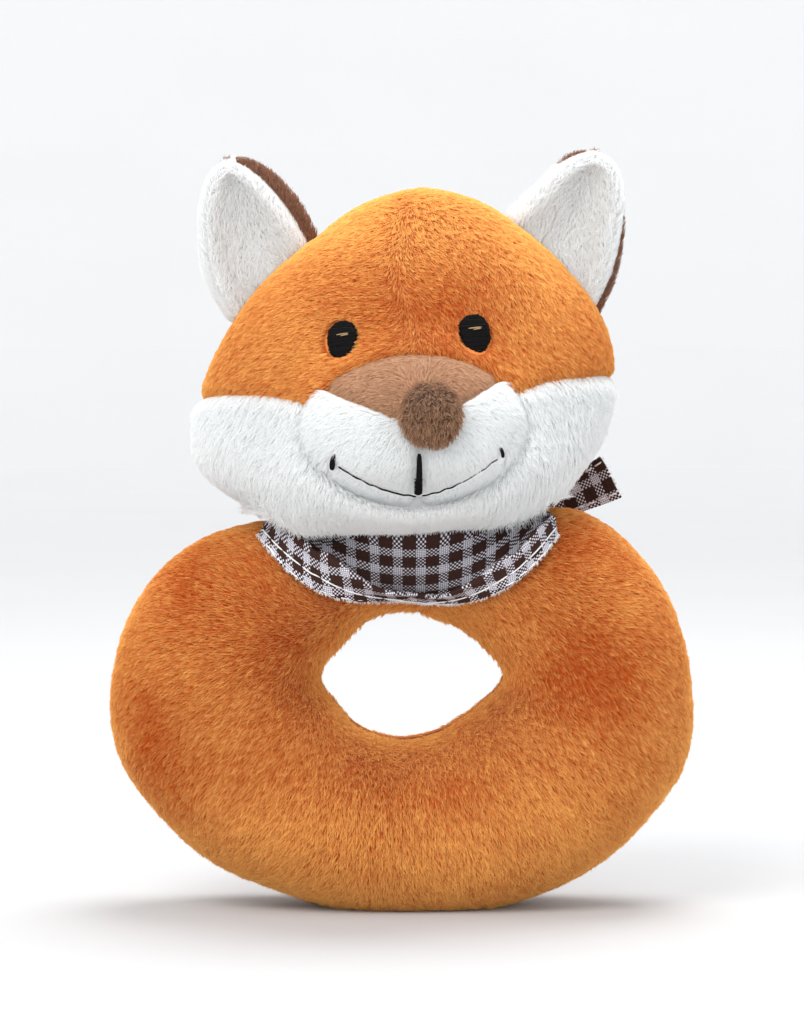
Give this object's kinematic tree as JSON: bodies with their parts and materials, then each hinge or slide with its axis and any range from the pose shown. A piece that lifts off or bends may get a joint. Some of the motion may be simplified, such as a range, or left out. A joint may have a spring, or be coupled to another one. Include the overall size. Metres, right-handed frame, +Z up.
{
  "type": "baby rattle",
  "caption": "Plush fox ring rattle: an animal head with folding ears on a stuffed grip ring, a rattle capsule inside the head and a gingham kerchief round the neck.",
  "frame": {"origin": "centre of the bottom face of the bounding box, on the surface the ring stands on", "axes": "+Z up, the fox's face looks towards -Y, +X is to the right of someone who faces it"},
  "size_m": [0.1082, 0.0653, 0.1446],
  "materials": {
    "orange_plush": "matte",
    "white_plush": "matte",
    "bridge_plush": "matte",
    "nose_plush": "matte",
    "ear_back_plush": "matte",
    "polyester_fibre": "matte",
    "orange_thread": "matte",
    "black_floss": "matte",
    "beige_floss": "matte",
    "gingham_cotton": "matte",
    "white_thread": "matte",
    "capsule_plastic": "satin",
    "bead_plastic": "matte"
  },
  "bodies": {
    "ring": {"ring_front_panel": "orange_plush", "ring_back_panel": "orange_plush", "ring_stuffing": "polyester_fibre", "ring_outer_seam_thread": "orange_thread", "ring_inner_seam_thread": "orange_thread", "neck_seam_thread": "orange_thread", "kerchief": "gingham_cotton", "kerchief_hem_thread": "white_thread", "kerchief_knot": "gingham_cotton"},
    "head": {"crown_left": "orange_plush", "crown_right": "orange_plush", "head_back": "orange_plush", "cheek_left": "white_plush", "cheek_right": "white_plush", "muzzle_left": "white_plush", "muzzle_right": "white_plush", "muzzle_bridge": "bridge_plush", "muzzle_stuffing": "polyester_fibre", "nose_cover": "nose_plush", "nose_stuffing": "polyester_fibre", "eye_left": "black_floss", "eye_right": "black_floss", "eye_glint_left": "beige_floss", "eye_glint_right": "beige_floss", "philtrum_stitch": "black_floss", "smile_stitch": "black_floss", "mouth_corner_left": "black_floss", "mouth_corner_right": "black_floss", "head_stuffing_front": "polyester_fibre", "head_stuffing_back": "polyester_fibre", "capsule_cup": "capsule_plastic", "capsule_lid": "capsule_plastic"},
    "ear_left": {"ear_left_front": "white_plush", "ear_left_back": "ear_back_plush"},
    "ear_right": {"ear_right_front": "white_plush", "ear_right_back": "ear_back_plush"},
    "tail_upper": {"kerchief_tail_upper": "gingham_cotton"},
    "tail_lower": {"kerchief_tail_lower": "gingham_cotton"},
    "bead_1": {"bead_1": "bead_plastic"},
    "bead_2": {"bead_2": "bead_plastic"},
    "bead_3": {"bead_3": "bead_plastic"},
    "bead_4": {"bead_4": "bead_plastic"},
    "bead_5": {"bead_5": "bead_plastic"}
  },
  "joints": [
    {"name": "neck_nod", "type": "hinge", "parent": "ring", "child": "head", "pos_m": [0.001, 0.0113, 0.0737], "axis": [1, 0, 0], "range_deg": [-8, 8], "stiffness_Nm_per_rad": 0.25},
    {"name": "ear_left_fold", "type": "hinge", "parent": "head", "child": "ear_left", "pos_m": [-0.02406, 0.00882, 0.11638], "axis": [-0.6983, -0.0427, -0.7145], "range_deg": [-25, 25], "stiffness_Nm_per_rad": 0.0015},
    {"name": "ear_right_fold", "type": "hinge", "parent": "head", "child": "ear_right", "pos_m": [0.02798, 0.012, 0.11894], "axis": [-0.6802, -0.0416, 0.7318], "range_deg": [-25, 25], "stiffness_Nm_per_rad": 0.0015},
    {"name": "tail_upper_swing", "type": "hinge", "parent": "ring", "child": "tail_upper", "pos_m": [0.0182, 0.0265, 0.0714], "axis": [0, 1, 0], "range_deg": [-10, 12], "stiffness_Nm_per_rad": 0.0001},
    {"name": "tail_lower_swing", "type": "hinge", "parent": "ring", "child": "tail_lower", "pos_m": [0.0152, 0.0295, 0.067], "axis": [1, 0, 0], "range_deg": [0, 35], "stiffness_Nm_per_rad": 0.0001},
    {"name": "bead_1_shake", "type": "slide", "parent": "head", "child": "bead_1", "axis": [0, 0, 1], "range_m": [0, 0.0152]},
    {"name": "bead_2_shake", "type": "slide", "parent": "head", "child": "bead_2", "axis": [0, 0, 1], "range_m": [0, 0.0152]},
    {"name": "bead_3_shake", "type": "slide", "parent": "head", "child": "bead_3", "axis": [0, 0, 1], "range_m": [0, 0.0152]},
    {"name": "bead_4_shake", "type": "slide", "parent": "head", "child": "bead_4", "axis": [0, 0, 1], "range_m": [0, 0.0152]},
    {"name": "bead_5_shake", "type": "slide", "parent": "head", "child": "bead_5", "axis": [0, 0, 1], "range_m": [0, 0.0152]}
  ]
}
